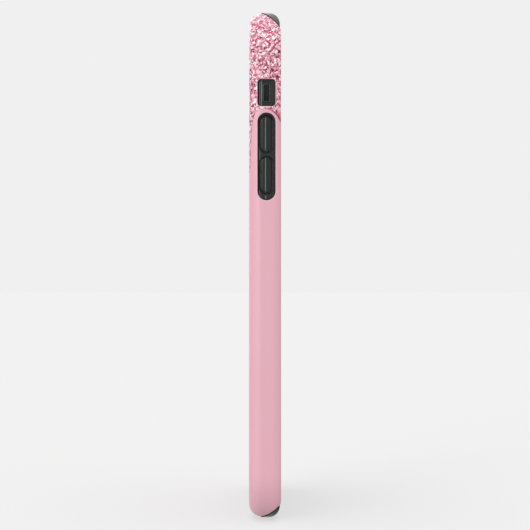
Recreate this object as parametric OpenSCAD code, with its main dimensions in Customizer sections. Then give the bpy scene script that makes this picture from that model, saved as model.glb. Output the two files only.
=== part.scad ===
// Two-piece protective phone case: a hard outer shell over a soft liner.
//
// The case is upright. +Z runs up its length to the camera end, +Y is the back
// and -Y the open screen side, and -X is the side with the mute and volume controls.
// The origin is the middle of the face that the back of the phone rests on.
// Each part is drawn lying on its back, with x across the width, y along the length
// and z up from the back face, and stand() then sets it upright.

/* [Phone] */
// Width of the phone that the case fits
phone_w = 78.1; // [70:0.1:86]
// Length of the phone
phone_l = 158.4; // [140:0.1:172]
// Thickness of the phone
phone_t = 7.5; // [7.2:0.1:9]
// Corner radius of the phone's outline
phone_corner_r = 11.85; // [10:0.05:14]
// Play around the phone
phone_play = 0.1; // [0.05:0.05:0.3]

/* [Walls] */
// Side wall of the hard shell
shell_wall = 1.2; // [1:0.1:1.6]
// Back wall of the hard shell
shell_back = 1; // [0.8:0.1:1.6]
// Side wall of the soft liner
liner_wall = 0.75; // [0.75:0.05:1.2]
// Back wall of the soft liner
liner_back = 0.75; // [0.5:0.05:1.2]
// Gap between the shell and the liner
fit_gap = 0.1; // [0.05:0.05:0.2]
// Radius of the edge round the back
back_edge_r = 4; // [3.6:0.1:4.4]
// How far the liner's lip reaches in over the screen
lip_reach = 1.3; // [0.8:0.1:2]
// How far the lip stands above the screen
lip_rise = 0.45; // [0.3:0.05:1]
// How far the shell's rim stands above the lip
rim_rise = 0.4; // [0.2:0.05:0.6]
// How far the shell's rim curls inwards
rim_curl = 0.55; // [0.2:0.05:0.6]
// Height over which the rim curls
rim_curl_h = 2.6; // [1.5:0.1:3]

/* [End scoops] */
// Length of the scoop that bares the liner at the camera end
scoop_l = 6.6; // [5:0.1:8]
// Length of the scoop at the charging end
scoop_low_l = 5.5; // [5:0.1:8]
// Height above the back where the scoop starts
scoop_start = 3.9; // [3.6:0.1:4.4]
// Radius of the scoop's edge, seen from the side
scoop_r = 20; // [12:1:60]
// How far the liner stands past the ends of the shell
bumper_rise = 0.25; // [0.1:0.05:0.6]
// Radius of the liner's front edge at the ends
bumper_roll_r = 5; // [4:0.1:5.2]

/* [Side controls] */
// Distance from the phone's top to the mute switch
mute_from_top = 24.8; // [22:0.1:26]
// Distance from the phone's top to the volume up button
volume_up_from_top = 37.8; // [36.8:0.1:42]
// Distance from the phone's top to the volume down button
volume_down_from_top = 50.8; // [50.8:0.1:58]
// Distance from the phone's top to the side button
side_button_from_top = 37.8; // [30:0.1:60]
// Length of a button pad
pad_l = 11; // [9:0.1:11.2]
// Width of a button pad
pad_w = 3.2; // [2.6:0.1:3.4]
// How far a pad stands above the liner
pad_rise = 0.3; // [0.1:0.05:0.35]
// Width of the thin web around a pad
web_w = 0.6; // [0.4:0.05:0.7]
// Thickness of the web
web_t = 0.35; // [0.25:0.05:0.4]
// Width of the windows in the shell
window_w = 5.7; // [5:0.1:5.8]
// Length of the mute window
mute_window_l = 8.6; // [7:0.1:8.7]
// Length of the mute opening in the liner
mute_slot_l = 5.3; // [4:0.1:6]
// Width of the mute opening in the liner
mute_slot_w = 1.9; // [1.5:0.1:2.2]

/* [Camera opening] */
// Width of the camera opening
camera_w = 33; // [24:0.5:40]
// Height of the camera opening
camera_h = 12; // [10:0.5:14]
// Distance from the phone's side to the opening
camera_from_side = 6; // [5:0.5:10]
// Distance from the phone's top to the opening
camera_from_top = 4.3; // [4.1:0.1:8]
// Width of the liner's collar around the opening
collar_w = 1.4; // [1:0.1:1.6]

/* [Bottom openings] */
// Width of the charging opening
port_w = 14; // [10:0.5:16]
// Height of the charging opening
port_h = 6; // [5:0.1:6.2]
// Width of each speaker opening
speaker_w = 14; // [10:0.5:14]
// Height of each speaker opening
speaker_h = 3.2; // [2:0.1:3.2]
// Distance from the centre to each speaker opening
speaker_x = 19; // [17:0.5:19.5]

/* [Hidden] */
$fn = 96;

PINK = [0.89, 0.70, 0.75];
BLACK = [0.12, 0.13, 0.13];
OVER = 1; // how far a cutter runs past the faces that it cuts

// Heights above the back face
liner_low = shell_back + fit_gap;
phone_low = liner_low + liner_back;
phone_high = phone_low + phone_t;
phone_mid = phone_low + phone_t / 2;
lip_high = phone_high + lip_rise;
case_t = lip_high + rim_rise;

// Depths of each wall's outer face below the case's outline
shell_in = shell_wall;
liner_out = shell_in + fit_gap;
cavity_out = liner_out + liner_wall;

// The outline of the shell, and the length of the whole case
outline_w = phone_w + 2 * (phone_play + cavity_out);
outline_l = phone_l + 2 * (phone_play + cavity_out);
outline_r = phone_corner_r + phone_play + cavity_out;
case_l = outline_l + 2 * bumper_rise;

curl_r = (rim_curl_h * rim_curl_h + rim_curl * rim_curl) / (2 * rim_curl);
cavity_front_r = 2.4;
liner_front_r = 0.5;

// Centre of a scoop's edge: an arc through the start of the scoop and the rim
scoop_h = case_t - scoop_start;
function scoop_centre(length) =
    let (chord = norm([length, scoop_h]), reach = sqrt(scoop_r * scoop_r - chord * chord / 4))
    [outline_l / 2 - length / 2 - reach * scoop_h / chord,
     scoop_start + scoop_h / 2 - reach * length / chord];

// Places of the controls along the case
phone_top = phone_l / 2;
mute_y = phone_top - mute_from_top;
volume_up_y = phone_top - volume_up_from_top;
volume_down_y = phone_top - volume_down_from_top;
side_button_y = phone_top - side_button_from_top;
pad_under = 0.3; // from the inside of the liner to a pad's inner face
pad_out = liner_out - pad_rise;
pad_in = cavity_out - pad_under;
web_out = cavity_out - web_t;
pad_slack = 0.08; // gap between a pad and its web
slot_above = 1.2; // from a slot's upper end to the pad
slot_below = 2.5; // from the pad to a slot's lower end
relief_gap = 0.08; // gap between a pad and the groove that lets the shell slide over it
relief_end = 0.16; // the same gap at the ends of a row of pads
mute_corner_r = 1.1;
mute_slot_r = 0.3;
mute_pan_l = 7.6;
mute_pan_w = 3.3;
mute_pan_d = 0.3;
mute_frame_w = 0.3;
LEFT = -1;
RIGHT = 1;

camera_x = phone_w / 2 - camera_from_side - camera_w / 2;
camera_y = phone_top - camera_from_top - camera_h / 2;
collar_low = 0.2; // depth of the collar below the shell's back
collar_gap = 0.15;
port_gap = 0.3; // how much wider the shell's port opening is than the liner's

// ---- Helpers ----

// Sets a part drawn on its back upright, with the middle of the phone's seat at the origin
module stand() {
    translate([0, phone_low, 0]) rotate([90, 0, 0]) children();
}

// A slab with the case's rounded outline, or one that is longer at each end. Its child is the
// profile from the centre of a corner (x = 0) out to the edge, with y the height.
module slab(low, high, longer = 0) {
    cx = outline_w / 2 - outline_r;
    cy = outline_l / 2 - outline_r + longer;
    corners = [[cx, cy], [-cx, cy], [-cx, -cy], [cx, -cy]];
    for (i = [0:3]) {
        translate(corners[i]) rotate([0, 0, 90 * i]) rotate_extrude(angle = 90) children();
    }
    for (turn = [0, 180]) {
        rotate([0, 0, turn]) translate([cx, cy, 0]) rotate([90, 0, 0]) linear_extrude(2 * cy) children();
        rotate([0, 0, turn + 90]) translate([cy, cx, 0]) rotate([90, 0, 0]) linear_extrude(2 * cx) children();
    }
    translate([-cx, -cy, low]) cube([2 * cx, 2 * cy, high - low]);
}

// What rounding a square corner at the origin, pointing to +x +y, takes away
module corner_cut(r) {
    translate([-r, -r]) difference() {
        square(r + OVER);
        circle(r);
    }
}

// A rounded rectangle, or a slot when r is half of its width
module plate(l, w, r) {
    if (l > 2 * r) square([l - 2 * r, w], center = true);
    if (w > 2 * r) square([l, w - 2 * r], center = true);
    for (x = [-1, 1], y = [-1, 1]) translate([x * (l / 2 - r), y * (w / 2 - r)]) circle(r);
}

module slot(l, w) {
    plate(l, w, w / 2);
}

// Extrudes an outline drawn in length and height across the whole width
module across() {
    rotate([90, 0, 90]) linear_extrude(outline_w + 2 * OVER, center = true) children();
}

// Extrudes an outline drawn in length and height through one side, between two depths
module through_side(side, out, in) {
    mirror([side < 0 ? 1 : 0, 0, 0]) translate([outline_w / 2 - in, 0, 0])
        rotate([90, 0, 90]) linear_extrude(in - out) children();
}

// Extrudes an outline drawn in width and height through the lower end
module through_bottom() {
    translate([0, -outline_l / 2 + cavity_out + OVER, 0])
        rotate([90, 0, 0]) linear_extrude(cavity_out + bumper_rise + 2 * OVER) children();
}

module both_ends() {
    children();
    mirror([0, 1, 0]) children();
}

// The zone at an end past the shell's swept edge, drawn in length and height
module scoop_outline(length, gap) {
    difference() {
        translate([outline_l / 2 - length, 0]) square([length + OVER, case_t + OVER]);
        translate(scoop_centre(length)) circle(scoop_r + gap, $fn = 360);
    }
}

module scoop_zones(gap) {
    across() scoop_outline(scoop_l, gap);
    mirror([0, 1, 0]) across() scoop_outline(scoop_low_l, gap);
}

// ---- Profiles ----

module outline_profile(high) {
    difference() {
        square([outline_r, high]);
        translate([outline_r, 0]) mirror([0, 1]) corner_cut(back_edge_r);
        translate([outline_r - curl_r, case_t - rim_curl_h]) difference() {
            square([curl_r + OVER, case_t]);
            circle(curl_r);
        }
    }
}

module shell_hollow_profile() {
    difference() {
        translate([0, shell_back]) square([outline_r - shell_in, case_t]);
        translate([outline_r - shell_in, shell_back]) mirror([0, 1]) corner_cut(back_edge_r - shell_in);
    }
}

module liner_profile() {
    difference() {
        translate([0, liner_low]) square([outline_r - liner_out, lip_high - liner_low]);
        translate([outline_r - liner_out, liner_low]) mirror([0, 1]) corner_cut(back_edge_r - liner_out);
        translate([outline_r - liner_out, lip_high]) corner_cut(liner_front_r);
    }
}

module cavity_profile() {
    difference() {
        translate([0, phone_low]) square([outline_r - cavity_out, phone_t]);
        translate([outline_r - cavity_out, phone_low]) mirror([0, 1]) corner_cut(back_edge_r - cavity_out);
        translate([outline_r - cavity_out, phone_high]) corner_cut(cavity_front_r);
    }
}

module mouth_profile() {
    translate([0, phone_mid]) square([outline_r - cavity_out - lip_reach, case_t]);
}

// ---- Openings shared by the shell and the liner ----

module camera_outline(extra) {
    translate([camera_x, camera_y]) slot(camera_w + 2 * extra, camera_h + 2 * extra);
}

module port_outline(extra) {
    translate([0, phone_mid]) slot(port_w + 2 * extra, port_h + 2 * extra);
}

module speaker_outlines() {
    for (x = [-speaker_x, speaker_x]) translate([x, phone_mid]) slot(speaker_w, speaker_h);
}

// The slot in the shell that shows the pads between two places along the side
module pad_window(top_y, bottom_y) {
    high = top_y + pad_l / 2 + slot_above;
    low = bottom_y - pad_l / 2 - slot_below;
    translate([(high + low) / 2, phone_mid]) slot(high - low, window_w);
}

// The groove inside the shell, from a slot to the rim, that passes over the pads
module pad_relief(side, top_y, bottom_y) {
    length = top_y - bottom_y + pad_l + 2 * relief_end;
    through_side(side, pad_out - relief_gap, shell_in + OVER)
        translate([(top_y + bottom_y - length) / 2, phone_mid - pad_w / 2 - relief_gap])
            square([length, case_t]);
}

// The stepped hole in the liner that takes one pad and its web
module pad_hole(side, y) {
    through_side(side, liner_out - OVER, cavity_out + OVER)
        translate([y, phone_mid]) slot(pad_l + 2 * web_w, pad_w + 2 * web_w);
}

// ---- Parts ----

module outer_shell() {
    color(PINK) stand() difference() {
        slab(0, case_t) outline_profile(case_t);
        slab(shell_back, case_t + shell_back) shell_hollow_profile();
        scoop_zones(0);
        through_side(LEFT, -OVER, shell_in + OVER)
            translate([mute_y, phone_mid]) plate(mute_window_l, window_w, mute_corner_r);
        through_side(LEFT, -OVER, shell_in + OVER) pad_window(volume_up_y, volume_down_y);
        through_side(RIGHT, -OVER, shell_in + OVER) pad_window(side_button_y, side_button_y);
        pad_relief(LEFT, volume_up_y, volume_down_y);
        pad_relief(RIGHT, side_button_y, side_button_y);
        translate([0, 0, -OVER]) linear_extrude(shell_back + 2 * OVER) camera_outline(collar_w + collar_gap);
        through_bottom() port_outline(port_gap);
    }
}

// The thick block of liner that shows past the shell at each end
module bumpers() {
    intersection() {
        slab(0, lip_high, bumper_rise) outline_profile(lip_high);
        scoop_zones(fit_gap);
    }
}

// The opening for the mute switch, in a shallow pan with a raised frame
module mute_opening() {
    through_side(LEFT, liner_out - OVER, cavity_out + OVER)
        translate([mute_y, phone_mid]) plate(mute_slot_l, mute_slot_w, mute_slot_r);
    through_side(LEFT, liner_out - OVER, liner_out + mute_pan_d)
        translate([mute_y, phone_mid]) difference() {
            plate(mute_pan_l, mute_pan_w, mute_corner_r);
            plate(mute_slot_l + 2 * mute_frame_w, mute_slot_w + 2 * mute_frame_w,
                  mute_slot_r + mute_frame_w);
        }
}

module liner() {
    color(BLACK) stand() difference() {
        union() {
            slab(liner_low, lip_high) liner_profile();
            bumpers();
            translate([0, 0, collar_low]) linear_extrude(phone_low - collar_low) camera_outline(collar_w);
        }
        slab(phone_low, phone_high) cavity_profile();
        slab(phone_mid, phone_mid + case_t) mouth_profile();
        both_ends() across() translate([case_l / 2, lip_high]) corner_cut(bumper_roll_r);
        translate([0, 0, -OVER]) linear_extrude(phone_low + 2 * OVER) camera_outline(0);
        mute_opening();
        pad_hole(LEFT, volume_up_y);
        pad_hole(LEFT, volume_down_y);
        pad_hole(RIGHT, side_button_y);
        through_bottom() port_outline(0);
        through_bottom() speaker_outlines();
    }
}

// A button pad, which travels into the case
module pad(side, y) {
    color(BLACK) stand() through_side(side, pad_out, pad_in)
        translate([y, phone_mid]) slot(pad_l, pad_w);
}

// The thin ring of liner that bends when its pad is pressed
module web(side, y) {
    color(BLACK) stand() through_side(side, web_out, cavity_out)
        translate([y, phone_mid]) difference() {
            slot(pad_l + 2 * web_w, pad_w + 2 * web_w);
            slot(pad_l + 2 * pad_slack, pad_w + 2 * pad_slack);
        }
}

outer_shell();
liner();
pad(LEFT, volume_up_y);  // volume_up_pad
pad(LEFT, volume_down_y);  // volume_down_pad
pad(RIGHT, side_button_y);  // side_pad
web(LEFT, volume_up_y);  // volume_up_web
web(LEFT, volume_down_y);  // volume_down_web
web(RIGHT, side_button_y);  // side_web
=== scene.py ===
"""Slim two-piece phone case standing upright: a printed hard shell over a soft black liner."""
import math

import bmesh
import bpy
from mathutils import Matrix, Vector
from mathutils.geometry import delaunay_2d_cdt


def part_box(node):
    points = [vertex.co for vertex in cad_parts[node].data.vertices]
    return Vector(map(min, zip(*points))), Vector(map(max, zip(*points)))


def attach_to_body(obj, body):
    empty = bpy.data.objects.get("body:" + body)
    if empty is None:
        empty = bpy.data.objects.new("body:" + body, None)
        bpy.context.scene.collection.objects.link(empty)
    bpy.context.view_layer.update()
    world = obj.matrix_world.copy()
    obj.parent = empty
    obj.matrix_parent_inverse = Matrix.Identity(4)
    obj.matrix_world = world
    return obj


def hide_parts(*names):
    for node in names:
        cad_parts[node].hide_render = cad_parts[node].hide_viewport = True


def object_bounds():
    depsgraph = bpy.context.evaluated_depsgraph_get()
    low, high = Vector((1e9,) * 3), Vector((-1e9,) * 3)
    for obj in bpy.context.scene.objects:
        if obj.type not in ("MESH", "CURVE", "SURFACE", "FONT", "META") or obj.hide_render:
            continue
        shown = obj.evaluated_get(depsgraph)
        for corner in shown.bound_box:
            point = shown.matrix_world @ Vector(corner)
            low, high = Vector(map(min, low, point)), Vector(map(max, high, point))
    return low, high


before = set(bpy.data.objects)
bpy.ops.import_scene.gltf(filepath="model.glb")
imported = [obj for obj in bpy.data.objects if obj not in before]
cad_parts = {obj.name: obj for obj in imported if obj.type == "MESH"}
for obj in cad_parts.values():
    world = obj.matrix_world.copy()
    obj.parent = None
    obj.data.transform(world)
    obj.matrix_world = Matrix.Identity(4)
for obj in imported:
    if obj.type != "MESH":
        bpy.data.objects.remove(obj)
CAD_BOX = [list(corner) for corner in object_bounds()]

MM = 0.001
SHELL_LOW, SHELL_HIGH = (Vector(corner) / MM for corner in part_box("outer_shell"))
CASE_LOW, CASE_HIGH = (Vector(corner) / MM for corner in CAD_BOX)

# The case's main sizes in millimetres, from the frame
HALF_W = (SHELL_HIGH.x - SHELL_LOW.x) / 2
HALF_L = (SHELL_HIGH.z - SHELL_LOW.z) / 2
CASE_T = SHELL_HIGH.y - SHELL_LOW.y
BACK_Y = SHELL_HIGH.y
MID_Z = (CASE_HIGH.z + CASE_LOW.z) / 2

# Radii, walls and scoops of the case, in millimetres, as the CAD model has them
OUTLINE_R = 14.0
BACK_EDGE_R = 4.0
SHELL_WALL = 1.2
SHELL_BACK = 1.0
RIM_CURL = 0.55
RIM_CURL_H = 2.6
SCOOP_HIGH_L = 6.6  # length of the scoop at the camera end
SCOOP_LOW_L = 5.5  # and at the charging end
SCOOP_START = 3.9  # height above the back at which a scoop starts on the end face
SCOOP_R = 20.0
FIT_GAP = 0.1
LINER_WALL = 0.75
LINER_OUT = SHELL_WALL + FIT_GAP
CAVITY_OUT = LINER_OUT + LINER_WALL
WINDOW_W = 5.7
WINDOW_PAST_TOP = 1.2
WINDOW_PAST_BOTTOM = 2.5
PORT_SIZE = (14.0, 6.0)
PORT_GAP = 0.3


def node_centre(node):
    """Middle of a CAD node: across, along from the case's middle, and height above the back."""
    low, high = (Vector(corner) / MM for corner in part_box(node))
    middle = (low + high) / 2
    return middle.x, middle.z - MID_Z, BACK_Y - middle.y


_, VOLUME_UP_AT, PHONE_MID = node_centre("volume_up_pad")
_, VOLUME_DOWN_AT, _ = node_centre("volume_down_pad")
_, SIDE_PAD_AT, _ = node_centre("side_pad")
PAD_L = 11.0
PAD_W = 3.2
MUTE_FROM_PAD = 13.0
MUTE_AT = VOLUME_UP_AT + MUTE_FROM_PAD
CAMERA_AT = (16.55, 68.9)
CAMERA_SIZE = (33.0, 12.0)
COLLAR_W = 1.4
COLLAR_GAP = 0.15

TINY = 1e-6  # lengths below this count as none


class Outline:
    """A rounded rectangle in a plane; a slot when the radius is half of its width."""

    def __init__(self, centre, size, radius):
        self.centre, self.half, self.radius = centre, (size[0] / 2, size[1] / 2), radius

    def grown(self, by):
        """The same outline moved outwards."""
        return Outline(self.centre, (2 * (self.half[0] + by), 2 * (self.half[1] + by)), self.radius + by)

    def distance(self, a, b):
        """Distance outside the outline, negative inside it."""
        qa = abs(a - self.centre[0]) - self.half[0] + self.radius
        qb = abs(b - self.centre[1]) - self.half[1] + self.radius
        return math.hypot(max(qa, 0), max(qb, 0)) + min(max(qa, qb), 0) - self.radius

    def points(self, arc_steps=10, side_steps=(12, 4)):
        """The same number of points whatever the size, so that nested outlines match."""
        out = []
        ca, cb = self.half[0] - self.radius, self.half[1] - self.radius
        corners = [(ca, cb), (-ca, cb), (-ca, -cb), (ca, -cb)]
        for i, (a, b) in enumerate(corners):
            for k in range(arc_steps + 1):
                angle = math.radians(90 * (i + k / arc_steps))
                out.append((a + self.radius * math.cos(angle), b + self.radius * math.sin(angle)))
            na, nb = corners[(i + 1) % 4]
            end = math.radians(90 * (i + 1))
            steps = side_steps[i % 2]
            if math.hypot(na - a, nb - b) < TINY:
                out.pop()
                continue
            for k in range(1, steps):
                t = k / steps
                out.append((a + (na - a) * t + self.radius * math.cos(end),
                            b + (nb - b) * t + self.radius * math.sin(end)))
        return [(self.centre[0] + a, self.centre[1] + b) for a, b in out]


MUTE_WINDOW = Outline((MUTE_AT, PHONE_MID), (8.6, WINDOW_W), 1.1)
MUTE_SLOT = Outline((MUTE_AT, PHONE_MID), (5.3, 1.9), 0.3)


def pad_window(top, bottom):
    """The slot in the shell that bares the pads from one place to another along the side."""
    high = top + PAD_L / 2 + WINDOW_PAST_TOP
    low = bottom - PAD_L / 2 - WINDOW_PAST_BOTTOM
    return Outline(((high + low) / 2, PHONE_MID), (high - low, WINDOW_W), WINDOW_W / 2)


VOLUME_WINDOW = pad_window(VOLUME_UP_AT, VOLUME_DOWN_AT)
SIDE_WINDOW = pad_window(SIDE_PAD_AT, SIDE_PAD_AT)
CAMERA_HOLE = Outline(CAMERA_AT, CAMERA_SIZE, CAMERA_SIZE[1] / 2)
PORT_NOTCH = Outline((0, PHONE_MID), PORT_SIZE, PORT_SIZE[1] / 2).grown(PORT_GAP)

WELD = 1e-7  # points of a mesh closer than this, in metres, are one point
EDGE_SHARE = 0.45  # most of a wall's thickness that the rounding from one face may take
OUTER_EDGE_STEPS = 4
INNER_EDGE_STEPS = 3


class Skin:
    """Points and faces of one piece. Points are given across, along and above the back, in mm."""

    def __init__(self):
        self.points, self.faces, self.slots = [], [], []

    def point(self, across, along, above):
        """Adds a point and gives its number."""
        self.points.append((across * MM, (BACK_Y - above) * MM, (MID_Z + along) * MM))
        return len(self.points) - 1

    def where(self, index):
        """A point's place across, along and above the back."""
        x, y, z = self.points[index]
        return x / MM, z / MM - MID_Z, BACK_Y - y / MM

    def face(self, corners, slot=0):
        """A face between points, in one of the piece's material slots."""
        self.faces.append(corners)
        self.slots.append(slot)

    def strip(self, first, second, slot=0):
        """A closed band of faces between two rings."""
        for i in range(len(first)):
            j = (i + 1) % len(first)
            self.face((first[i], first[j], second[j], second[i]), slot)

    def rounded(self, start, corner, end, steps, slots):
        """Strips that round the edge at corner, from the points of start to the places of end.

        The strips take the material slots in turn, and the rest of them take the last."""
        rows = [start]
        for k in range(1, steps):
            t = k / steps
            row = []
            for a, c, b in zip(start, corner, end):
                a = Vector(self.where(a))
                p = a * (1 - t) ** 2 + Vector(c) * 2 * t * (1 - t) + Vector(b) * t ** 2
                row.append(self.point(*p))
            rows.append(row)
        rows.append([self.point(*b) for b in end])
        for k in range(steps):
            self.strip(rows[k], rows[k + 1], slots[min(k, len(slots) - 1)])
        return rows[-1]

    def edge(self, outer_ring, outer_corner, inner_corner, inner_ring, radius):
        """Rounded edge through a wall, between two rings on its faces. The outer finish ends just over it."""
        down, up = [], []
        for c, d in zip(outer_corner, inner_corner):
            c, d = Vector(c), Vector(d)
            way = (d - c).normalized() * min(radius, (d - c).length * EDGE_SHARE)
            down.append(c + way)
            up.append(d - way)
        outer_end = self.rounded(outer_ring, outer_corner, down, OUTER_EDGE_STEPS, (0, 1))
        inner_end = self.rounded(inner_ring, inner_corner, up, INNER_EDGE_STEPS, (1,))
        self.strip(outer_end, inner_end, 1)

    def patch(self, border, rings, loose, flat, slot=0):
        """Triangles between a border and the rings inside it. flat gives a point's place in the plane."""
        ids = list(border)
        edges = [(i, (i + 1) % len(border)) for i in range(len(border))]
        for ring in rings:
            base = len(ids)
            ids += ring
            edges += [(base + i, base + (i + 1) % len(ring)) for i in range(len(ring))]
        ids += loose
        plane = [Vector(flat(*self.where(i))) for i in ids]
        places, _, faces, origins, _, _ = delaunay_2d_cdt(plane, edges, [], 0, WELD)
        names = [ids[o[0]] for o in origins]
        holes = [[flat(*self.where(i)) for i in ring] for ring in rings]
        outside = [flat(*self.where(i)) for i in border]
        for f in faces:
            a = sum(places[i].x for i in f) / len(f)
            b = sum(places[i].y for i in f) / len(f)
            if inside(outside, a, b) and not any(inside(hole, a, b) for hole in holes):
                self.face([names[i] for i in f], slot)

    def build(self, name, materials, smooth_angle):
        """The finished object. Edges sharper than the angle, in degrees, stay sharp."""
        mesh = bpy.data.meshes.new(name)
        mesh.from_pydata(self.points, [], self.faces)
        piece = bpy.data.objects.new(name, mesh)
        bpy.context.scene.collection.objects.link(piece)
        for material in materials:
            mesh.materials.append(material)
        for polygon, slot in zip(mesh.polygons, self.slots):
            polygon.material_index = slot
        work = bmesh.new()
        work.from_mesh(mesh)
        bmesh.ops.remove_doubles(work, verts=work.verts, dist=WELD)
        bmesh.ops.recalc_face_normals(work, faces=work.faces)
        work.to_mesh(mesh)
        work.free()
        mesh.shade_smooth()
        mesh.set_sharp_from_angle(angle=math.radians(smooth_angle))
        return piece


def inside(loop, a, b):
    """Whether a point lies inside a closed loop in the plane."""
    hit = False
    for i in range(len(loop)):
        (a0, b0), (a1, b1) = loop[i - 1], loop[i]
        if (b0 > b) != (b1 > b) and a < a0 + (b - b0) * (a1 - a0) / (b1 - b0):
            hit = not hit
    return hit


def side_plane(_, along, above):
    """A point's place on a long side of the case, for Skin.patch."""
    return along, above


def back_plane(across, along, _):
    """A point's place on the back of the case, for Skin.patch."""
    return across, along


def attach(piece, body, slot, *nodes):
    """Puts a piece under the empty of the body it moves with, and hides the CAD nodes that it stands for.
    slot is not used.
    """
    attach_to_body(piece, body)
    if nodes:
        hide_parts(*nodes)


# ---- The shell ----

COLUMN_STEP = 0.8  # between the columns of points along a straight side
CORNER_STEPS = 36
OUTER_ROWS = 26
INNER_ROWS = 18
FLAT_ROW = 0.35  # width of the flat strip of faces just inside the back edge
RIM_R = 0.28
WINDOW_EDGE_R = 0.25
SHELL_SMOOTH = 60  # degrees, see Skin.build
MOST_SLANT = 2.5  # the rim's rounding grows with the slant of a scoop up to this many times
CURL_R = (RIM_CURL_H ** 2 + RIM_CURL ** 2) / (2 * RIM_CURL)


def columns():
    """(centre across, centre along, direction across, direction along) round the outline."""
    cx, cz = HALF_W - OUTLINE_R, HALF_L - OUTLINE_R
    corners = [(-cx, -cz), (-cx, cz), (cx, cz), (cx, -cz)]
    out = []
    for side in range(4):
        (x0, z0), (x1, z1) = corners[side], corners[(side + 1) % 4]
        angle = 180 - 90 * side
        a = math.radians(angle)
        steps = round(math.hypot(x1 - x0, z1 - z0) / COLUMN_STEP)
        for i in range(steps + 1):
            t = i / steps
            out.append((x0 + (x1 - x0) * t, z0 + (z1 - z0) * t, math.cos(a), math.sin(a)))
        for i in range(1, CORNER_STEPS):
            b = math.radians(angle - 90 * i / CORNER_STEPS)
            out.append((x1, z1, math.cos(b), math.sin(b)))
    return out


class Profile:
    """A wall's cross-section: round the back edge, up the side and in along the rim's curl."""

    def __init__(self, low, edge_r, wall, curl):
        self.low, self.edge_r, self.wall, self.curl = low, edge_r, wall, curl
        self.arc = edge_r * math.pi / 2

    def reach(self, above):
        """How far the wall stands out at a height."""
        below = self.low + self.edge_r - above
        if below > 0:
            return self.wall - self.edge_r + math.sqrt(max(self.edge_r ** 2 - below ** 2, 0))
        start = CASE_T - RIM_CURL_H
        if self.curl and above > start:
            return self.wall - CURL_R + math.sqrt(CURL_R ** 2 - (above - start) ** 2)
        return self.wall

    def length(self, above):
        """Length along the section from the start of the back edge up to a height."""
        if above < self.low + self.edge_r:
            return self.edge_r * math.acos(min(max(1 - (above - self.low) / self.edge_r, -1), 1))
        return self.arc + above - self.low - self.edge_r

    def height(self, length):
        """The height at a length along the section."""
        if length < self.arc:
            return self.low + self.edge_r * (1 - math.cos(length / self.edge_r))
        return self.low + self.edge_r + length - self.arc


OUTER = Profile(0, BACK_EDGE_R, OUTLINE_R, True)
INNER = Profile(SHELL_BACK, BACK_EDGE_R - SHELL_WALL, OUTLINE_R - SHELL_WALL, False)


def scoop_centre(length):
    """Centre of the arc that cuts a scoop of this length: along the case and above the back."""
    rise = CASE_T - SCOOP_START
    chord = math.hypot(length, rise)
    reach = math.sqrt(SCOOP_R ** 2 - chord ** 2 / 4)
    return HALF_L - length / 2 - reach * rise / chord, SCOOP_START + rise / 2 - reach * length / chord


def scoop_height(along):
    """Height at which the scoops cut the shell, at a distance from its middle."""
    length = SCOOP_HIGH_L if along > 0 else SCOOP_LOW_L
    middle, up = scoop_centre(length)
    if abs(along) <= middle or abs(along) < HALF_L - length:
        return CASE_T
    return min(up + math.sqrt(max(SCOOP_R ** 2 - (abs(along) - middle) ** 2, 0)), CASE_T)


def top_height(column, profile):
    """Height where a column of the wall ends: at the rim, a scoop or the charging notch."""
    cx, cz, _, dz = column
    low, high = profile.low, CASE_T
    if scoop_height(cz + dz * profile.reach(high)) < high:
        while high - low > TINY:
            middle = (low + high) / 2
            if middle < scoop_height(cz + dz * profile.reach(middle)):
                low = middle
            else:
                high = middle
    faces_down = dz < TINY - 1
    if faces_down and abs(cx) < PORT_NOTCH.half[0]:
        past = max(abs(cx) - PORT_NOTCH.half[0] + PORT_NOTCH.radius, 0)
        high = min(high, PHONE_MID - math.sqrt(PORT_NOTCH.radius ** 2 - past ** 2))
    return high


def on_wall(column, reach, above):
    """The place that stands out by reach from a column's centre."""
    cx, cz, dx, dz = column
    return cx + dx * reach, cz + dz * reach, above


def wall_grid(skin, cols, profile, rows):
    """Points on one face of the wall, a line for each column, and the corners where they end."""
    grid, corner = [], []
    tops = [top_height(c, profile) for c in cols]
    for i, column in enumerate(cols):
        before, after = tops[i - 1], tops[(i + 1) % len(cols)]
        p0 = on_wall(cols[i - 1], profile.reach(before), before)
        p1 = on_wall(cols[(i + 1) % len(cols)], profile.reach(after), after)
        run = math.hypot(p1[0] - p0[0], p1[1] - p0[1])
        slant = math.hypot(1, (after - before) / max(run, TINY))
        end = profile.length(tops[i]) - RIM_R * min(slant, MOST_SLANT)
        line = [skin.point(*on_wall(column, profile.wall - profile.edge_r - FLAT_ROW, profile.low))]
        for j in range(rows + 1):
            above = profile.height(end * j / rows)
            line.append(skin.point(*on_wall(column, profile.reach(above), above)))
        grid.append(line)
        corner.append(on_wall(column, profile.reach(tops[i]), tops[i]))
    return grid, corner


def on_side(side, profile, along, above):
    """The place on a straight side's face at a distance along the case and a height."""
    return side * (HALF_W - OUTLINE_R + profile.reach(above)), along, above


# The block of faces that windows are cut from: how far it reaches past them
BLOCK_ALONG = 2.0
BLOCK_BELOW = 0.7
BLOCK_ABOVE = 0.5
LOOSE_GAP = 0.25  # from a window's ring to the nearest point of the grid that is kept


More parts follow.
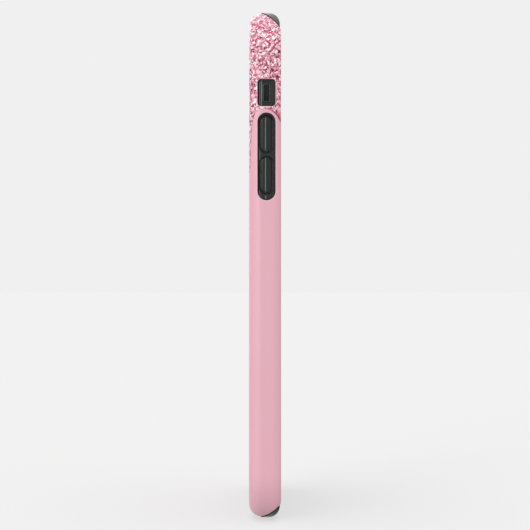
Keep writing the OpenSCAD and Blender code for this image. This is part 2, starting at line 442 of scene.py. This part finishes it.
def window_block(skin, cols, grid, side, windows, profile, slot):
    """Cuts windows out of one straight side. Returns each window's ring and the cells to skip."""
    low = min(w.centre[0] - w.half[0] for w in windows) - BLOCK_ALONG
    high = max(w.centre[0] + w.half[0] for w in windows) + BLOCK_ALONG
    picked = [i for i, c in enumerate(cols) if c[2] == side and low <= c[1] <= high]
    first, last = min(picked), max(picked)
    rows = range(1, len(grid[0]))
    above = [skin.where(grid[first][j])[2] for j in rows]
    low_row = max(j for j, v in zip(rows, above) if v < PHONE_MID - WINDOW_W / 2 - BLOCK_BELOW)
    high_row = min(j for j, v in zip(rows, above) if v > PHONE_MID + WINDOW_W / 2 + BLOCK_ABOVE)
    border = [grid[i][low_row] for i in range(first, last)]
    border += [grid[last][j] for j in range(low_row, high_row)]
    border += [grid[i][high_row] for i in range(last, first, -1)]
    border += [grid[first][j] for j in range(high_row, low_row, -1)]
    loose = []
    for i in range(first + 1, last):
        for j in range(low_row + 1, high_row):
            _, along, height = skin.where(grid[i][j])
            if all(w.distance(along, height) > WINDOW_EDGE_R + LOOSE_GAP for w in windows):
                loose.append(grid[i][j])
    rings = [[skin.point(*on_side(side, profile, a, v)) for a, v in w.grown(WINDOW_EDGE_R).points()]
             for w in windows]
    skin.patch(border, rings, loose, side_plane, slot)
    cells = {(i, j) for i in range(first, last) for j in range(low_row, high_row)}
    return rings, cells


def fill_grid(skin, grid, skipped, slot):
    """The faces of a wall's grid, apart from the cells that windows take."""
    for i in range(len(grid)):
        k = (i + 1) % len(grid)
        for j in range(len(grid[i]) - 1):
            if (i, j) not in skipped:
                skin.face((grid[i][j], grid[k][j], grid[k][j + 1], grid[i][j + 1]), slot)


# Points spread over the flat back: the distance between them and how clear they stay of its edges
BACK_SPREAD = 6.0
BACK_MARGIN = 3.0
BACK_CORNER_R = 7.0
HOLE_MARGIN = 2.0


def back_places(hole):
    """Places spread over the flat back, clear of its rounded edge and of the camera opening."""
    across, along = int(HALF_W / BACK_SPREAD), int(HALF_L / BACK_SPREAD)
    clear_a, clear_b = HALF_W - BACK_EDGE_R - BACK_MARGIN, HALF_L - BACK_EDGE_R - BACK_MARGIN
    for i in range(-across, across + 1):
        for j in range(-along, along + 1):
            a, b = i * BACK_SPREAD, j * BACK_SPREAD
            corner = math.hypot(max(abs(a) - HALF_W + OUTLINE_R, 0), max(abs(b) - HALF_L + OUTLINE_R, 0))
            on_flat = abs(a) < clear_a and abs(b) < clear_b and corner < BACK_CORNER_R
            if on_flat and hole.distance(a, b) > HOLE_MARGIN:
                yield a, b


def back_patch(skin, border, hole, above, slot):
    """The flat back inside the rounded edge, with the camera opening cut out of it."""
    ring = [skin.point(a, b, above) for a, b in hole.grown(RIM_R).points()]
    loose = [skin.point(a, b, above) for a, b in back_places(hole)]
    skin.patch(border, [ring], loose, back_plane, slot)
    return ring


def make_shell(printed, base):
    """The hard shell: an outer face with the print, and the base colour inside and through its edges."""
    skin = Skin()
    cols = columns()
    outer, outer_rim = wall_grid(skin, cols, OUTER, OUTER_ROWS)
    inner, inner_rim = wall_grid(skin, cols, INNER, INNER_ROWS)
    faces = ((outer, OUTER), (inner, INNER))
    skipped = (set(), set())
    for side, windows in ((-1, [MUTE_WINDOW, VOLUME_WINDOW]), (1, [SIDE_WINDOW])):
        rings = []
        for slot, (grid, profile) in enumerate(faces):
            face_rings, cells = window_block(skin, cols, grid, side, windows, profile, slot)
            rings.append(face_rings)
            skipped[slot].update(cells)
        for window, outer_ring, inner_ring in zip(windows, *rings):
            outside, within = ([on_side(side, profile, a, v) for a, v in window.points()]
                               for profile in (OUTER, INNER))
            skin.edge(outer_ring, outside, within, inner_ring, WINDOW_EDGE_R)
    for slot, (grid, _) in enumerate(faces):
        fill_grid(skin, grid, skipped[slot], slot)
    skin.edge([line[-1] for line in outer], outer_rim, inner_rim, [line[-1] for line in inner], RIM_R)

    hole = CAMERA_HOLE.grown(COLLAR_W + COLLAR_GAP)
    outer_ring, inner_ring = (back_patch(skin, [line[0] for line in grid], hole, profile.low, slot)
                              for slot, (grid, profile) in enumerate(faces))
    outside, within = ([(a, b, low) for a, b in hole.points()] for low in (0, SHELL_BACK))
    skin.edge(outer_ring, outside, within, inner_ring, RIM_R)
    attach(skin.build("printed_shell", [printed, base], SHELL_SMOOTH), "shell", "shell", "outer_shell")


# ---- The pads, their webs and the fine mouldings of the liner that show in the windows ----

# The seams: half width, radius of the section, heights, and how much of one is sunk in the liner
SEAM_HALF = 0.17
SEAM_R = 0.3
SEAM_ABOVE = PHONE_MID - 0.25
MUTE_SEAM_ABOVE = PHONE_MID - 1.55
SEAM_SINK = 0.005
SEAM_ROOT = 0.03
SEAM_STEPS = 6
SEAM_SLOPE = 0.3  # how steeply a pad's own seam may rise from the pad's edge
SEAM_TIP = [(0, 0.2), (0.15, 0.7), (0.4, 1)]  # distance from a seam's end, and the share of its full size
SEAM_SHORTEST = 0.9
WINDOW_INSET = 0.3  # how far the seams stay inside a window's ends
MUTE_INSET = 0.1

# Depths of a pad's outer edge and of its inner end below the case's outline
PAD_OUT = LINER_OUT - 0.25
PAD_IN = CAVITY_OUT - 0.3
PAD_EDGE_R = 0.16
PAD_CROWN = 0.02

# Points of the pads and rings: steps of their arcs and sides, and distances on a pad's face
PAD_EDGE_STEPS = 5
ARC_STEPS = 14
PAD_SIDE_STEPS = (24, 1)
RING_SIDE_STEPS = (24, 6)
MESH_ALONG = 0.37
MESH_ABOVE = 0.1
MESH_INSET = 0.1
SEAM_MESH = SEAM_HALF / 5

# Sections of the rings round a pad and round the mute slot: distance out from the outline, and
# depth below the liner's face. A web has a rounded lip, a groove, and a fine gap to its pad.
WEB_GAP = 0.025
WEB_ROOT = 0.58
WEB_IN = LINER_WALL - 0.02
WEB_SECTION = [(0.78, 0.02), (0.75, -0.05), (0.67, -0.09), (WEB_ROOT, -0.05), (0.5, 0.07), (0.42, 0.21),
               (0.32, 0.29), (0.22, 0.3), (0.13, 0.25), (0.08, 0.35), (WEB_GAP, 0.42), (WEB_GAP, WEB_IN),
               (WEB_ROOT, WEB_IN), (WEB_ROOT, 0.04)]
FRAME_SECTION = [(-0.02, 0.3), (-0.03, 0.02), (0.03, -0.05), (0.13, -0.09), (0.25, -0.06), (0.33, 0.02),
                 (0.34, 0.3)]
SOFT_SMOOTH = 50  # degrees, see Skin.build
SEAM_SMOOTH = 60


def seam_rise(off, half=SEAM_HALF):
    """Height of a seam's round section at a distance from its middle."""
    return math.sqrt(SEAM_R ** 2 - min(abs(off), half) ** 2) - math.sqrt(SEAM_R ** 2 - half ** 2)


def pad_outline(node):
    """The slot shape of the pad that a CAD node gives the place of."""
    _, at, _ = node_centre(node)
    return Outline((at, PHONE_MID), (PAD_L, PAD_W), PAD_W / 2)


def steps_within(half, step):
    """Even steps from one side of 0 to the other."""
    count = round(half / step)
    return [step * k for k in range(-count, count + 1)]


def pad_heights():
    """Heights of the points on a pad's face: close together over the seam, and even beside it."""
    over = steps_within(SEAM_HALF, SEAM_MESH)
    beside = [off for off in steps_within(PAD_W, MESH_ABOVE) if abs(off) > SEAM_HALF + MESH_ABOVE / 2]
    return [SEAM_ABOVE + off for off in sorted(over + beside)]


def make_pad(node, body, side, finish):
    """A crowned pad with a rounded edge and the seam of its mould along it."""
    skin, outline = Skin(), pad_outline(node)

    def depth(inset, above):
        seam = min(seam_rise(above - SEAM_ABOVE), (inset - PAD_EDGE_R) * SEAM_SLOPE)
        return PAD_OUT + PAD_CROWN * (1 - 2 * inset / PAD_W) ** 2 - max(seam, 0)

    def ring(inset, below):
        places = outline.grown(-inset).points(ARC_STEPS, PAD_SIDE_STEPS)
        return [skin.point(side * (HALF_W - below), a, v) for a, v in places]

    top = depth(PAD_EDGE_R, PHONE_MID + PAD_W / 2)
    rows = [ring(0, PAD_IN)]
    for k in range(PAD_EDGE_STEPS + 1):
        turn = math.radians(90 * k / PAD_EDGE_STEPS)
        rows.append(ring(PAD_EDGE_R * (1 - math.cos(turn)), top + PAD_EDGE_R * (1 - math.sin(turn))))
    for first, second in zip(rows, rows[1:]):
        skin.strip(first, second)
    loose = []
    for off in steps_within(PAD_L / 2, MESH_ALONG):
        for above in pad_heights():
            along = outline.centre[0] + off
            inset = -outline.distance(along, above)
            if inset > PAD_EDGE_R + MESH_INSET:
                loose.append(skin.point(side * (HALF_W - depth(inset, above)), along, above))
    skin.patch(rows[-1], [], loose, side_plane)
    skin.patch(rows[0], [], [], side_plane)
    attach(skin.build(node + "_soft", [finish], SOFT_SMOOTH), body, "pads", node)


def make_ring(name, side, outline, section, finish, *nodes):
    """A closed ring that follows an outline on the liner's side face."""
    skin = Skin()
    rows = []
    for out, below in section:
        places = outline.grown(out).points(ARC_STEPS, RING_SIDE_STEPS)
        rows.append([skin.point(side * (HALF_W - LINER_OUT - below), a, v) for a, v in places])
    for k in range(len(rows)):
        skin.strip(rows[k - 1], rows[k])
    attach(skin.build(name, [finish], SOFT_SMOOTH), "liner", "liner", *nodes)


def make_seams(name, side, above, stretches, finish):
    """Thin raised seams of the mould along the liner's side face."""
    skin = Skin()
    for low, high in stretches:
        places = [(low + run, size) for run, size in SEAM_TIP]
        places += [(high - run, size) for run, size in reversed(SEAM_TIP)]
        rows = []
        for along, size in places:
            row = []
            for k in range(-SEAM_STEPS, SEAM_STEPS + 1):
                off = SEAM_HALF * size * k / SEAM_STEPS
                rise = seam_rise(off, SEAM_HALF * size) - SEAM_SINK
                row.append(skin.point(side * (HALF_W - LINER_OUT + rise), along, above + off))
            rows.append(row + [skin.point(side * (HALF_W - LINER_OUT - SEAM_ROOT), along, above)])
        for first, second in zip(rows, rows[1:]):
            skin.strip(first, second)
        for row in (rows[0], rows[-1]):
            skin.face(row)
    attach(skin.build(name, [finish], SEAM_SMOOTH), "liner", "liner")


def ends(outline, by=0.0):
    """Where an outline starts and ends along the case."""
    return outline.centre[0] - outline.half[0] - by, outline.centre[0] + outline.half[0] + by


def seam_stretches(window, nodes):
    """The parts of a window that are clear of the pads' webs."""
    low, high = ends(window, -WINDOW_INSET)
    stops = [low]
    for first, last in sorted(ends(pad_outline(node), WEB_SECTION[0][0]) for node in nodes):
        stops += [first, last]
    stops.append(high)
    return [(a, b) for a, b in zip(stops[::2], stops[1::2]) if b - a > SEAM_SHORTEST]


# Each long side: its sign across, its seams' name, its window, and the body of each pad in it
SIDES = [(-1, "seam_left", VOLUME_WINDOW, {"volume_up_pad": "volume_up", "volume_down_pad": "volume_down"}),
         (1, "seam_right", SIDE_WINDOW, {"side_pad": "side_button"})]


def make_soft_parts(webs, pads, painted_highlight_seams, painted_highlight_frame):
    """The pads with their webs and seams on both sides, and the frame and seam of the mute slot; the seams
    and the frame are painted lighter grey as painted highlights.
    """
    for side, seam_name, window, bodies in SIDES:
        for node, body in bodies.items():
            make_pad(node, body, side, pads)
            web = node.replace("_pad", "_web")
            make_ring(web + "_soft", side, pad_outline(node), WEB_SECTION, webs, web)
        make_seams(seam_name, side, SEAM_ABOVE, seam_stretches(window, bodies), painted_highlight_seams)
    make_ring("mute_frame", -1, MUTE_SLOT, FRAME_SECTION, painted_highlight_frame)
    make_seams("seam_mute", -1, MUTE_SEAM_ABOVE, [ends(MUTE_WINDOW, -MUTE_INSET)], painted_highlight_seams)


# ---- Materials ----

def srgb(r, g, b):
    """A colour given as it looks on screen, 0 to 255, as the linear values that nodes take."""
    def linear(c):
        c /= 255
        return c / 12.92 if c <= 0.04045 else ((c + 0.055) / 1.055) ** 2.4
    return linear(r), linear(g), linear(b), 1


LIT = 1.51  # how much brighter than its base colour the lit side of the case looks


def looks(r, g, b):
    """The base colour of a surface that looks like this on screen, 0 to 255, in the studio's light."""
    return tuple(c / LIT for c in srgb(r, g, b)[:3]) + (1,)


class Finish:
    """A material and short ways to add nodes to it."""

    def __init__(self, name, roughness, specular):
        self.material = bpy.data.materials.new(name)
        self.material.use_nodes = True
        self.tree = self.material.node_tree
        self.shader = self.tree.nodes["Principled BSDF"]
        self.shader.inputs["Roughness"].default_value = roughness
        self.shader.inputs["Specular IOR Level"].default_value = specular
        self.place = self.add("ShaderNodeTexCoord").outputs["Object"]

    def add(self, kind, **settings):
        """A new node."""
        node = self.tree.nodes.new(kind)
        for name, value in settings.items():
            setattr(node, name, value)
        return node

    def join(self, value, socket):
        """Links a node's output to a socket, or sets the socket to a plain value."""
        if isinstance(value, bpy.types.NodeSocket):
            self.tree.links.new(value, socket)
        else:
            socket.default_value = value

    def maths(self, operation, *values):
        """The result of one operation on sockets or plain numbers."""
        node = self.add("ShaderNodeMath", operation=operation)
        for value, socket in zip(values, node.inputs):
            self.join(value, socket)
        return node.outputs[0]

    def axes(self):
        """The three coordinates of a point on the piece, in metres."""
        split = self.add("ShaderNodeSeparateXYZ")
        self.join(self.place, split.inputs[0])
        return split.outputs

    def noise(self, scale, detail=2.0, roughness=0.5):
        """Smooth noise from 0 to 1, with its scale in waves a metre."""
        node = self.add("ShaderNodeTexNoise")
        self.join(self.place, node.inputs["Vector"])
        node.inputs["Scale"].default_value = scale
        node.inputs["Detail"].default_value = detail
        node.inputs["Roughness"].default_value = roughness
        return node.outputs["Fac"]

    def cells(self, scale):
        """Three random values for each cell of a crystal pattern."""
        node = self.add("ShaderNodeTexVoronoi")
        self.join(self.place, node.inputs["Vector"])
        node.inputs["Scale"].default_value = scale
        split = self.add("ShaderNodeSeparateColor")
        self.join(node.outputs["Color"], split.inputs[0])
        return split.outputs

    def ramp(self, value, stops):
        """A colour for each value, from stops of position and colour."""
        node = self.add("ShaderNodeValToRGB")
        elements = node.color_ramp.elements
        while len(elements) < len(stops):
            elements.new(0.5)
        for element, (position, colour) in zip(elements, stops):
            element.position = position
            element.color = colour
        self.join(value, node.inputs[0])
        return node.outputs[0]

    def mix(self, factor, first, second):
        """The first colour where factor is 0, the second where it is 1."""
        node = self.add("ShaderNodeMix", data_type="RGBA")
        self.join(factor, node.inputs[0])
        self.join(first, node.inputs[6])
        self.join(second, node.inputs[7])
        return node.outputs[2]

    def step(self, value, low, high):
        """Rises smoothly from 0 to 1 as value goes from low to high."""
        node = self.add("ShaderNodeMapRange", interpolation_type="SMOOTHSTEP")
        self.join(value, node.inputs[0])
        node.inputs[1].default_value = low
        node.inputs[2].default_value = high
        return node.outputs[0]

    def bump(self, height, strength, distance, normal=None):
        """A normal tilted by a height, with the distance in metres that a height of 1 stands for."""
        node = self.add("ShaderNodeBump")
        node.inputs["Strength"].default_value = strength
        node.inputs["Distance"].default_value = distance
        self.join(height, node.inputs["Height"])
        if normal:
            self.join(normal, node.inputs["Normal"])
        return node.outputs[0]

    def set(self, name, value):
        """Sets or links one of the shader's own inputs."""
        self.join(value, self.shader.inputs[name])


# Drips of the glitter pattern, in millimetres: centre measured round the case from the middle
# of its back, half width at the tip, and how far below the glitter's straight edge the tip is.
GLITTER_EDGE = 50.6
DRIPS = [(-55.0, 3.2, 14.4), (-38.3, 1.2, 20.0), (-30.0, 1.9, 9.0), (-22.0, 2.3, 31.0), (-12.5, 2.0, 13.0),
         (-4.0, 2.4, 39.0), (5.5, 1.8, 17.0), (14.0, 2.3, 27.0), (23.0, 2.0, 10.0), (31.5, 2.2, 34.0),
         (39.5, 1.8, 14.0), (55.0, 3.2, 14.4)]
DRIP_TAPER = 0.07  # how much a drip's half width grows for each millimetre above its tip
DRIP_BLEND = 12.0
DRIP_WOBBLE = 0.7  # how far the glitter's edge wanders, from one side to the other
WOBBLE_SCALE = 260
GLITTER_SOFT = 0.05
LINE_HALF = 0.12  # half width of the line drawn round the glitter
LINE_SOFT = 0.08
LINE_BREAK_SCALE = 130
LINE_BREAKS = (0.36, 0.56)  # values of the noise between which the line fades in

# Tones of the flakes, from the darkest to the lightest, with the share of flakes below each
FLAKES = [(0.0, (62, 8, 30)), (0.07, (128, 36, 68)), (0.26, (192, 86, 118)), (0.5, (226, 140, 160)),
          (0.72, (243, 186, 198)), (0.86, (254, 232, 236)), (1.0, (255, 255, 253))]
FLAKE_LAYERS = [(2500, 0.0), (1750, 0.5), (1150, 0.84)]  # flakes a metre, and the share left bare
FLAKE_EDGE = 0.01
FLAKE_TILT = 0.22  # strength of the bump that tilts them
FLAKE_HEIGHT = 0.00008  # metres
FLAKE_GLOSS = 0.16  # how much smoother a flake may be than the print
PRINT_ROUGHNESS = 0.4
PRINT_SPECULAR = 0.3
PRINT_MOTTLE = 60
PRINT_GRAIN = 2600  # bumps a metre
PRINT_GRAIN_DEPTH = 0.0001
PRINT_GRAIN_STRENGTH = 0.05


def drip_field(f, around, along):
    """Distance outside the glitter's edge in millimetres, negative inside the glitter."""
    field = f.maths("SUBTRACT", GLITTER_EDGE, along)
    for centre, half, fall in DRIPS:
        tip = GLITTER_EDGE - fall
        off = f.maths("SUBTRACT", around, centre)
        down = f.maths("MAXIMUM", f.maths("SUBTRACT", tip, along), 0.0)
        square = f.maths("MULTIPLY_ADD", off, off, f.maths("MULTIPLY", down, down))
        up = f.maths("MAXIMUM", f.maths("SUBTRACT", along, tip), 0.0)
        width = f.maths("MULTIPLY_ADD", up, DRIP_TAPER, half)
        drip = f.maths("SUBTRACT", f.maths("SQRT", square), width)
        field = f.maths("SMOOTH_MIN", field, drip, DRIP_BLEND)
    wobble = f.maths("MULTIPLY_ADD", f.noise(WOBBLE_SCALE), DRIP_WOBBLE, -DRIP_WOBBLE / 2)
    return f.maths("ADD", field, wobble)


def flakes(f):
    """Colour and lean of the glitter's flakes: layers of cells, the larger ones over the smaller."""
    stops = [(share, looks(*tone)) for share, tone in FLAKES]
    colour = tilt = None
    for scale, bare in FLAKE_LAYERS:
        pick, share, lean = f.cells(scale)
        tone = f.ramp(pick, stops)
        if colour:
            shown = f.step(share, bare, bare + FLAKE_EDGE)
            tone = f.mix(shown, colour, tone)
            lean = f.maths("MULTIPLY_ADD", f.maths("SUBTRACT", lean, tilt), shown, tilt)
        colour, tilt = tone, lean
    return colour, tilt


def print_finish():
    """Satin pink print with glitter running down from the camera end in drips."""
    f = Finish("shell_print", PRINT_ROUGHNESS, PRINT_SPECULAR)
    x, y, z = f.axes()
    x = f.maths("DIVIDE", x, MM)
    above = f.maths("SUBTRACT", BACK_Y, f.maths("DIVIDE", y, MM))
    along = f.maths("SUBTRACT", f.maths("DIVIDE", z, MM), MID_Z)
    around = f.maths("MULTIPLY_ADD", f.maths("SIGN", x), above, x)
    field = drip_field(f, around, along)
    glitter = f.step(f.maths("MULTIPLY", field, -1.0), -GLITTER_SOFT, GLITTER_SOFT)
    near = f.maths("MULTIPLY", f.maths("ABSOLUTE", field), -1.0)
    line = f.step(near, -LINE_HALF - LINE_SOFT, -LINE_HALF + LINE_SOFT)
    line = f.maths("MULTIPLY", line, f.step(f.noise(LINE_BREAK_SCALE), *LINE_BREAKS))

    flake, tilt = flakes(f)
    pink = f.mix(f.noise(PRINT_MOTTLE, 3), looks(226, 172, 185), looks(229, 176, 188))
    colour = f.mix(glitter, pink, flake)
    f.set("Base Color", f.mix(line, colour, looks(146, 44, 72)))
    tilt = f.maths("MULTIPLY", tilt, glitter)
    grained = f.bump(f.noise(PRINT_GRAIN), PRINT_GRAIN_STRENGTH, PRINT_GRAIN_DEPTH)
    f.set("Normal", f.bump(tilt, FLAKE_TILT, FLAKE_HEIGHT, grained))
    f.set("Roughness", f.maths("MULTIPLY_ADD", tilt, -FLAKE_GLOSS, PRINT_ROUGHNESS))
    return f.material


# Moulded surfaces: lengths in metres, and how much roughness varies from place to place
EDGE_ROUNDING = 0.00015
GRAIN_DEPTH = 0.00003
GRAIN_STRENGTH = 0.35
ROUGHNESS_SPREAD = 0.12
ROUGHNESS_SCALE = 140
MOTTLE_SCALE = 90
HARD_GRAIN = 900  # bumps a metre
SOFT_GRAIN = 2400
SEAM_CORE = 0.7  # share of a seam's half width that has the full colour of the painted highlight


def plain_finish(name, first, second, roughness, grain, specular, seam=None):
    """Moulded plastic or rubber, slightly mottled and finely grained; seam, when given, is a lighter line
    painted along a pad's seam as a painted highlight.
    """
    f = Finish(name, roughness, specular)
    colour = f.mix(f.noise(MOTTLE_SCALE, 3), first, second)
    if seam:
        off = f.maths("ABSOLUTE", f.maths("SUBTRACT", f.axes()[1], (BACK_Y - SEAM_ABOVE) * MM))
        colour = f.mix(f.step(off, SEAM_HALF * MM * SEAM_CORE, SEAM_HALF * MM), seam, colour)
    f.set("Base Color", colour)
    least = roughness - ROUGHNESS_SPREAD / 2
    f.set("Roughness", f.maths("MULTIPLY_ADD", f.noise(ROUGHNESS_SCALE, 3), ROUGHNESS_SPREAD, least))
    rounded = f.add("ShaderNodeBevel", samples=4)
    rounded.inputs["Radius"].default_value = EDGE_ROUNDING
    f.set("Normal", f.bump(f.noise(grain, 3, 0.6), GRAIN_STRENGTH, GRAIN_DEPTH, rounded.outputs[0]))
    return f.material


BLACK = srgb(13, 17, 16)
WORN_BLACK = srgb(17, 21, 20)

PRINT = print_finish()
BASE = plain_finish("shell_base", looks(233, 192, 203), looks(236, 197, 207), 0.38, HARD_GRAIN, 0.5)
SOFT = plain_finish("liner_soft", BLACK, WORN_BLACK, 0.3, SOFT_GRAIN, 0.32)
# The lighter line along each pad's seam, srgb(52, 58, 55), is a painted highlight.
PADS = plain_finish("pad_soft", BLACK, srgb(18, 22, 21), 0.22, SOFT_GRAIN, 0.32, srgb(52, 58, 55))
# The seams' light grey is a painted highlight along the moulded ridges, not the rubber's own colour.
HIGHLIGHT_SEAMS = plain_finish("seam_painted_highlight", srgb(84, 93, 89), srgb(92, 101, 97), 0.22, SOFT_GRAIN, 0.5)
WEBS = plain_finish("web_soft", BLACK, WORN_BLACK, 0.24, SOFT_GRAIN, 0.4)
# The mute slot's frame is a lighter grey than the liner: a painted highlight on its raised lip.
HIGHLIGHT_FRAME = plain_finish("frame_painted_highlight", srgb(34, 39, 36), srgb(40, 45, 42), 0.25, SOFT_GRAIN, 0.4)

make_shell(PRINT, BASE)
make_soft_parts(WEBS, PADS, HIGHLIGHT_SEAMS, HIGHLIGHT_FRAME)
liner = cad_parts["liner"].data
liner.materials.clear()
liner.materials.append(SOFT)


# ---- Floor, light and camera ----

SKY = 0.871  # brightness of the surroundings
FLOOR_SIZE = 8.0
FLOOR_MOTTLE = 1.004
FLOOR_GLOW = 0.66  # share of the floor's brightness that comes through it from below


def from_where(left, up):
    """Direction to a lamp, given its angles from straight behind the camera."""
    left, up = math.radians(left), math.radians(up)
    return -math.cos(up) * math.cos(left), math.cos(up) * math.sin(left), math.sin(up)


# Large soft sources: where each one is, its strength, and how wide it is in degrees
SOFTBOXES = {"softbox_top": (from_where(0, 90), 1.6, 64), "softbox_high": (from_where(31, 40), 0.3, 50),
             "softbox_front": (from_where(34, 6), 2.5, 42), "softbox_far": (from_where(180, 8), 1.5, 90)}


def make_floor():
    """A pale floor as bright as the surroundings, so that no horizon shows."""
    light = SKY + sum(way[2] * power for way, power, _ in SOFTBOXES.values()) / math.pi
    grey = SKY * (1 - FLOOR_GLOW) / light
    floor = Finish("studio_floor", 0.9, 0.0)
    floor.set("Emission Color", (1, 1, 1, 1))
    floor.set("Emission Strength", SKY * FLOOR_GLOW)
    floor.set("Base Color", floor.mix(floor.noise(3), (grey,) * 3 + (1,), (grey * FLOOR_MOTTLE,) * 3 + (1,)))
    mesh = bpy.data.meshes.new("floor")
    half = FLOOR_SIZE / 2
    corners = [(-half, -half), (half, -half), (half, half), (-half, half)]
    mesh.from_pydata([(x, y, CASE_LOW.z * MM) for x, y in corners], [], [(0, 1, 2, 3)])
    mesh.materials.append(floor.material)
    piece = bpy.data.objects.new("floor", mesh)
    bpy.context.scene.collection.objects.link(piece)


def make_light():
    """The softboxes, and a plain pale sky all round."""
    for name, (way, power, width) in SOFTBOXES.items():
        data = bpy.data.lights.new(name, "SUN")
        data.energy = power
        data.angle = math.radians(width)
        light = bpy.data.objects.new(name, data)
        light.rotation_euler = Vector(way).to_track_quat("Z", "Y").to_euler()
        bpy.context.scene.collection.objects.link(light)
    world = bpy.data.worlds.new("studio")
    world.use_nodes = True
    world.node_tree.nodes["Background"].inputs["Color"].default_value = (SKY, SKY, SKY, 1)
    bpy.context.scene.world = world


CAMERA_DISTANCE = 0.48  # metres from the near side of the case
CAMERA_LENS = 103.4
CAMERA_SENSOR = 36


def make_camera():
    """A camera that looks straight at the long side with the volume pads."""
    data = bpy.data.cameras.new("camera")
    data.lens = CAMERA_LENS
    data.sensor_width = CAMERA_SENSOR
    camera = bpy.data.objects.new("camera", data)
    camera.location = (-(HALF_W * MM + CAMERA_DISTANCE), (BACK_Y - CASE_T / 2) * MM, MID_Z * MM)
    camera.rotation_euler = (math.pi / 2, 0, -math.pi / 2)
    bpy.context.scene.collection.objects.link(camera)
    bpy.context.scene.camera = camera


make_floor()
make_light()
make_camera()
bpy.context.scene.view_settings.view_transform = "Standard"
